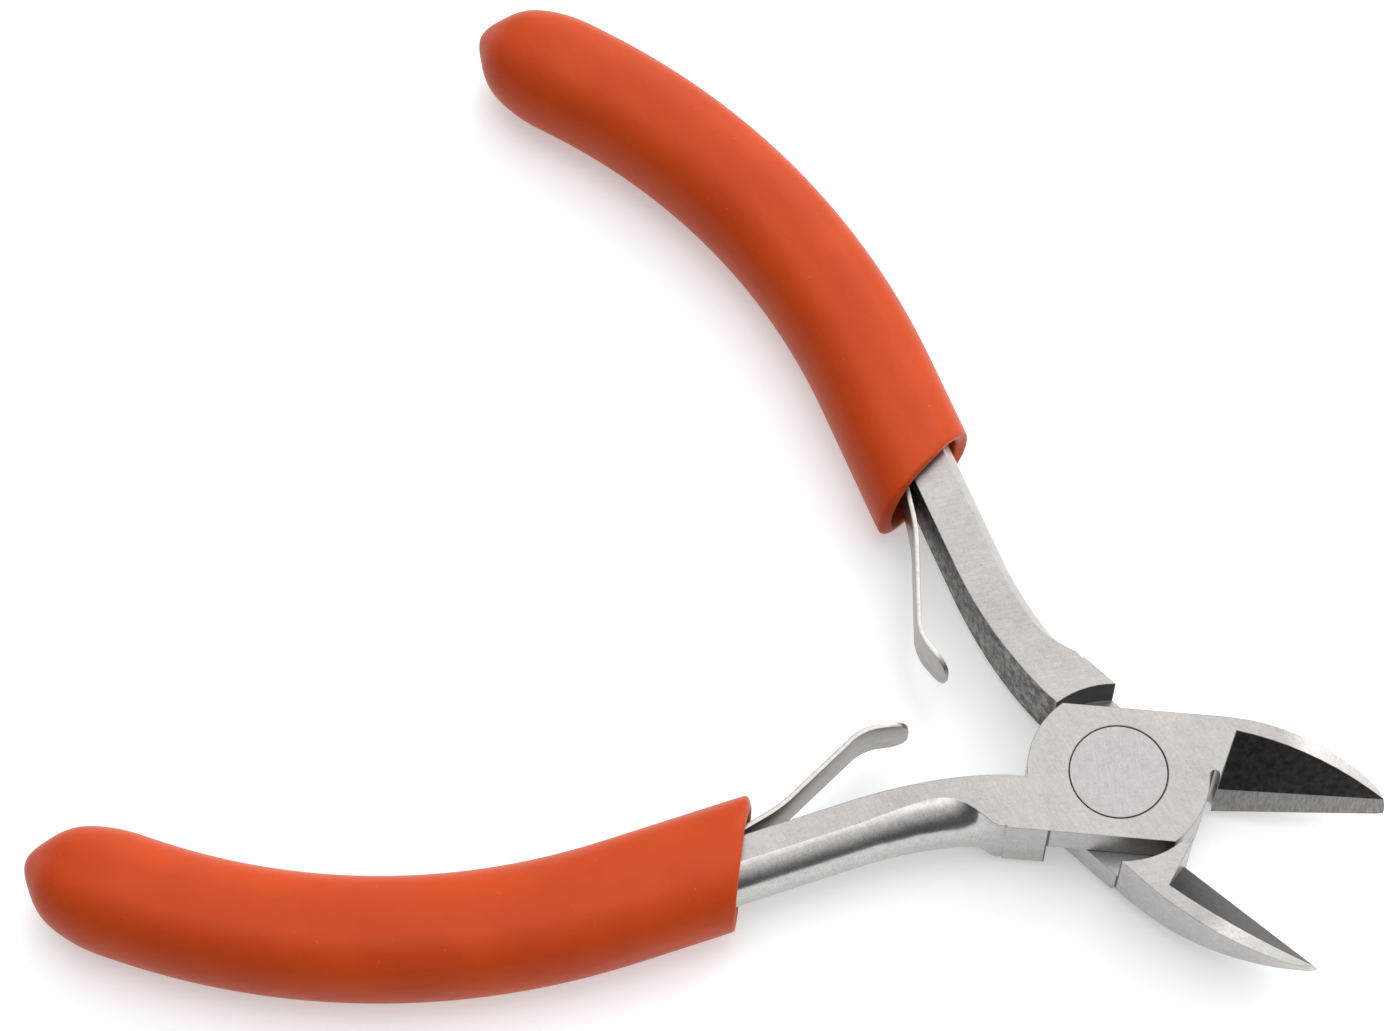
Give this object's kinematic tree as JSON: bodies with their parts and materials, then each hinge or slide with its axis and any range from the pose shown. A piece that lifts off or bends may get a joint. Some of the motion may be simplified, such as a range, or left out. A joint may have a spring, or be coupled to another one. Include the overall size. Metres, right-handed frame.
{
  "type": "flush cutter",
  "caption": "Small flush side cutter with a lap joint, flush rivet, bowed handles in vinyl sleeves and a leaf return spring on each handle.",
  "frame": {"origin": "on the pivot axis, at the flat back face of the joint", "axes": "+Z along the pivot axis out of the face with the ground hollows, +X from the pivot to the middle of the open jaws, handles towards -X"},
  "size_m": [0.1037, 0.0994, 0.0096],
  "materials": {
    "ground_steel": "ground and lightly brushed tool steel, satin",
    "rivet_steel": "ground flush with the plates, satin",
    "spring_steel": "blanked spring strip, bright edges",
    "grip_vinyl": "orange vinyl, soft satin"
  },
  "bodies": {
    "lower_handle": {"lower_half": "ground_steel", "pivot_rivet": "rivet_steel", "lower_grip": "grip_vinyl", "lower_spring_foot": "spring_steel", "lower_spring_rivet": "rivet_steel"},
    "upper_handle": {"upper_half": "ground_steel", "upper_grip": "grip_vinyl", "upper_spring_foot": "spring_steel", "upper_spring_rivet": "rivet_steel"},
    "lower_leaf": {"lower_spring_blade": "spring_steel"},
    "upper_leaf": {"upper_spring_blade": "spring_steel"}
  },
  "joints": [
    {"name": "pivot", "type": "hinge", "parent": "lower_handle", "child": "upper_handle", "pos_m": [0, 0, 0.0037], "axis": [0, 0, 1], "range_deg": [0, 38.8], "stiffness_Nm_per_rad": 0.45},
    {"name": "lower_leaf_flex", "type": "hinge", "parent": "lower_handle", "child": "lower_leaf", "pos_m": [-0.0267, -0.01621, 0.0037], "axis": [0, 0, 1], "range_deg": [-18.5, 0]},
    {"name": "upper_leaf_flex", "type": "hinge", "parent": "upper_handle", "child": "upper_leaf", "pos_m": [-0.0267, 0.01621, 0.0037], "axis": [0, 0, 1], "range_deg": [0, 14]}
  ],
  "couplings": [
    {"joint": "lower_leaf_flex", "follows": "pivot", "ratio": -0.451},
    {"joint": "upper_leaf_flex", "follows": "pivot", "ratio": 0.3376}
  ]
}
